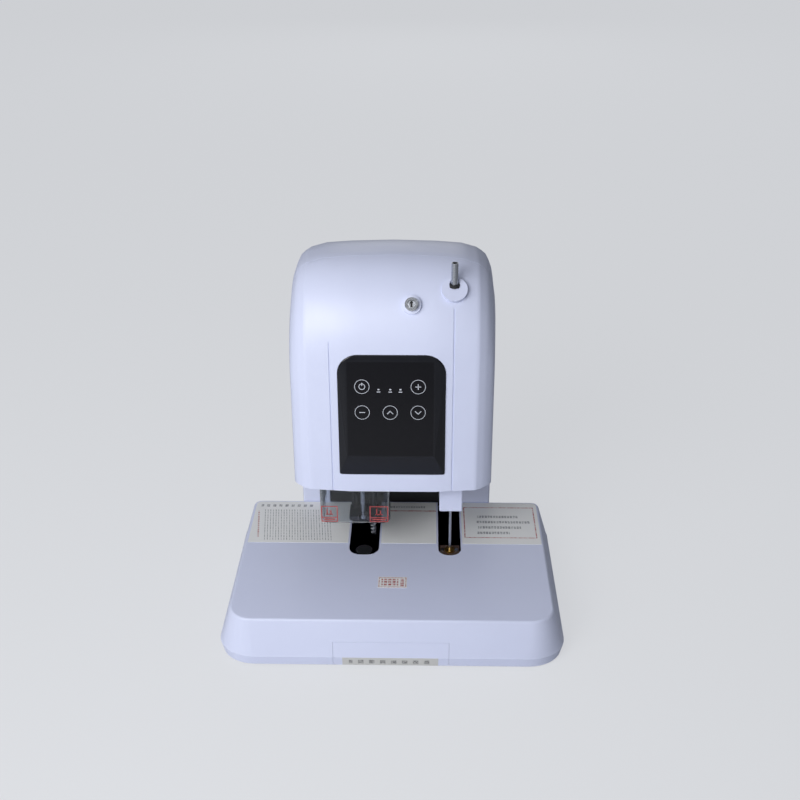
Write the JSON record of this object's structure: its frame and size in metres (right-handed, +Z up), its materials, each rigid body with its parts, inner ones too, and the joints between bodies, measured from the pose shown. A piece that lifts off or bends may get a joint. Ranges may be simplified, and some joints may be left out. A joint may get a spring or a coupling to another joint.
{
  "type": "document riveting machine",
  "caption": "Desktop document riveting machine: a sprung-foot hollow drill and a hot tube-riveting head over a notched paper table, under one rounded tower housing.",
  "frame": {"origin": "middle of the outline on the desk the feet stand on", "axes": "+Z up, the operator stands at -Y, +X to the operator's right"},
  "size_m": [0.368, 0.312, 0.4004],
  "materials": {
    "white_abs": "fine moulded texture",
    "console_black": "gloss",
    "touch_glass": "polished",
    "black_plastic": "satin",
    "smoked_clear": "polished",
    "printed_film": "satin laminate",
    "painted_steel": "satin",
    "dark_sheet": "matt",
    "bright_steel": "ground",
    "chromed": "polished",
    "alloy": "machined",
    "die_brass": "turned",
    "zinc_plate": "zinc plated",
    "circuit_board": "solder mask",
    "foot_rubber": "matt",
    "belt_rubber": "matt",
    "insulating_block": "machined"
  },
  "bodies": {
    "machine": {"base_shell": "white_abs", "base_plate": "zinc_plate", "rubber_feet": "foot_rubber", "table_films": "printed_film", "rear_cover": "white_abs", "front_cover": "white_abs", "throat_liner": "dark_sheet", "work_lamp": "black_plastic", "drill_guard": "smoked_clear", "panel_console": "console_black", "panel_glass": "touch_glass", "side_frames": "painted_steel", "cover_screws": "bright_steel", "head_plate": "painted_steel", "top_plate": "painted_steel", "guide_rods": "chromed", "die_beam": "painted_steel", "main_board": "circuit_board", "power_supply": "zinc_plate", "inlet_module": "black_plastic", "lift_motors": "zinc_plate", "pad_seat": "bright_steel", "lower_heater": "insulating_block", "lower_die": "die_brass", "die_screws": "bright_steel", "needle": "bright_steel", "probe_spring": "bright_steel", "feed_tube": "bright_steel", "feed_grommet": "foot_rubber", "feed_bracket": "zinc_plate", "feed_motor": "zinc_plate", "key_lock": "chromed"},
    "drill_unit": {"drill_carriage": "alloy", "drill_bushes": "bright_steel", "drill_nut": "die_brass", "spindle_bearings": "bright_steel", "drill_motor": "zinc_plate", "drive_belt": "belt_rubber", "press_springs": "bright_steel"},
    "drill_spindle": {"spindle": "bright_steel", "collet": "bright_steel", "drill_bit": "bright_steel"},
    "motor_shaft": {"motor_pulley": "alloy"},
    "press_foot": {"press_foot": "dark_sheet"},
    "drill_lift_screw": {"drill_screw": "bright_steel"},
    "rivet_unit": {"rivet_carriage": "alloy", "rivet_bushes": "bright_steel", "rivet_nut": "die_brass", "rivet_block": "white_abs", "upper_heater": "alloy", "upper_die": "die_brass", "guide_tube": "bright_steel"},
    "rivet_lift_screw": {"rivet_screw": "bright_steel"},
    "feed_roller": {"feed_roller": "belt_rubber"},
    "idler_roller": {"idler_roller": "bright_steel"},
    "key_barrel": {"key_barrel": "chromed"},
    "power_rocker": {"power_rocker": "black_plastic"},
    "drawer": {"drawer": "white_abs"},
    "drill_pad": {"drill_pad": "black_plastic"},
    "stack_probe": {"probe_plunger": "bright_steel"}
  },
  "joints": [
    {"name": "drill_lift", "type": "slide", "parent": "machine", "child": "drill_unit", "axis": [0, 0, 1], "range_m": [-0.043, 0.008]},
    {"name": "drill_spin", "type": "hinge", "parent": "drill_unit", "child": "drill_spindle", "pos_m": [-0.034, -0.02, 0.25], "axis": [0, 0, 1], "continuous": true},
    {"name": "motor_spin", "type": "hinge", "parent": "drill_unit", "child": "motor_shaft", "pos_m": [-0.034, 0.064, 0.29], "axis": [0, 0, 1], "continuous": true},
    {"name": "press_foot_slide", "type": "slide", "parent": "drill_unit", "child": "press_foot", "axis": [0, 0, 1], "range_m": [0, 0.04], "stiffness_N_per_m": 120, "springref_m": -0.03, "deforming": ["press_springs"]},
    {"name": "drill_screw_turn", "type": "hinge", "parent": "machine", "child": "drill_lift_screw", "pos_m": [-0.034, 0.03, 0.25], "axis": [0, 0, 1], "continuous": true},
    {"name": "rivet_lift", "type": "slide", "parent": "machine", "child": "rivet_unit", "axis": [0, 0, 1], "range_m": [-0.06, 0]},
    {"name": "rivet_screw_turn", "type": "hinge", "parent": "machine", "child": "rivet_lift_screw", "pos_m": [0.063, 0.028, 0.25], "axis": [0, 0, 1], "continuous": true},
    {"name": "feed_roller_spin", "type": "hinge", "parent": "machine", "child": "feed_roller", "pos_m": [0.0515, -0.02, 0.325], "axis": [0, 1, 0], "continuous": true},
    {"name": "idler_roller_spin", "type": "hinge", "parent": "machine", "child": "idler_roller", "pos_m": [0.0745, -0.02, 0.325], "axis": [0, 1, 0], "continuous": true},
    {"name": "key_turn", "type": "hinge", "parent": "machine", "child": "key_barrel", "pos_m": [0.0203, -0.033, 0.36061], "axis": [0, -0.8566, 0.5159], "range_deg": [0, 90]},
    {"name": "rocker_tilt", "type": "hinge", "parent": "machine", "child": "power_rocker", "pos_m": [-0.014, 0.15, 0.076], "axis": [1, 0, 0], "range_deg": [0, 14]},
    {"name": "drawer_slide", "type": "slide", "parent": "machine", "child": "drawer", "axis": [0, -1, 0], "range_m": [0, 0.085]},
    {"name": "pad_turn", "type": "hinge", "parent": "machine", "child": "drill_pad", "pos_m": [-0.034, -0.02, 0.05], "axis": [0, 0, 1], "continuous": true},
    {"name": "probe_slide", "type": "slide", "parent": "machine", "child": "stack_probe", "axis": [0, 0, 1], "range_m": [-0.006, 0], "stiffness_N_per_m": 150, "springref_m": 0.006, "deforming": ["probe_spring"]}
  ],
  "couplings": [
    {"joint": "motor_spin", "follows": "drill_spin", "ratio": 1.4},
    {"joint": "drill_screw_turn", "follows": "drill_lift", "rad_per_m": 785.4},
    {"joint": "rivet_screw_turn", "follows": "rivet_lift", "rad_per_m": 785.4},
    {"joint": "feed_roller_spin", "follows": "idler_roller_spin", "ratio": -1}
  ]
}
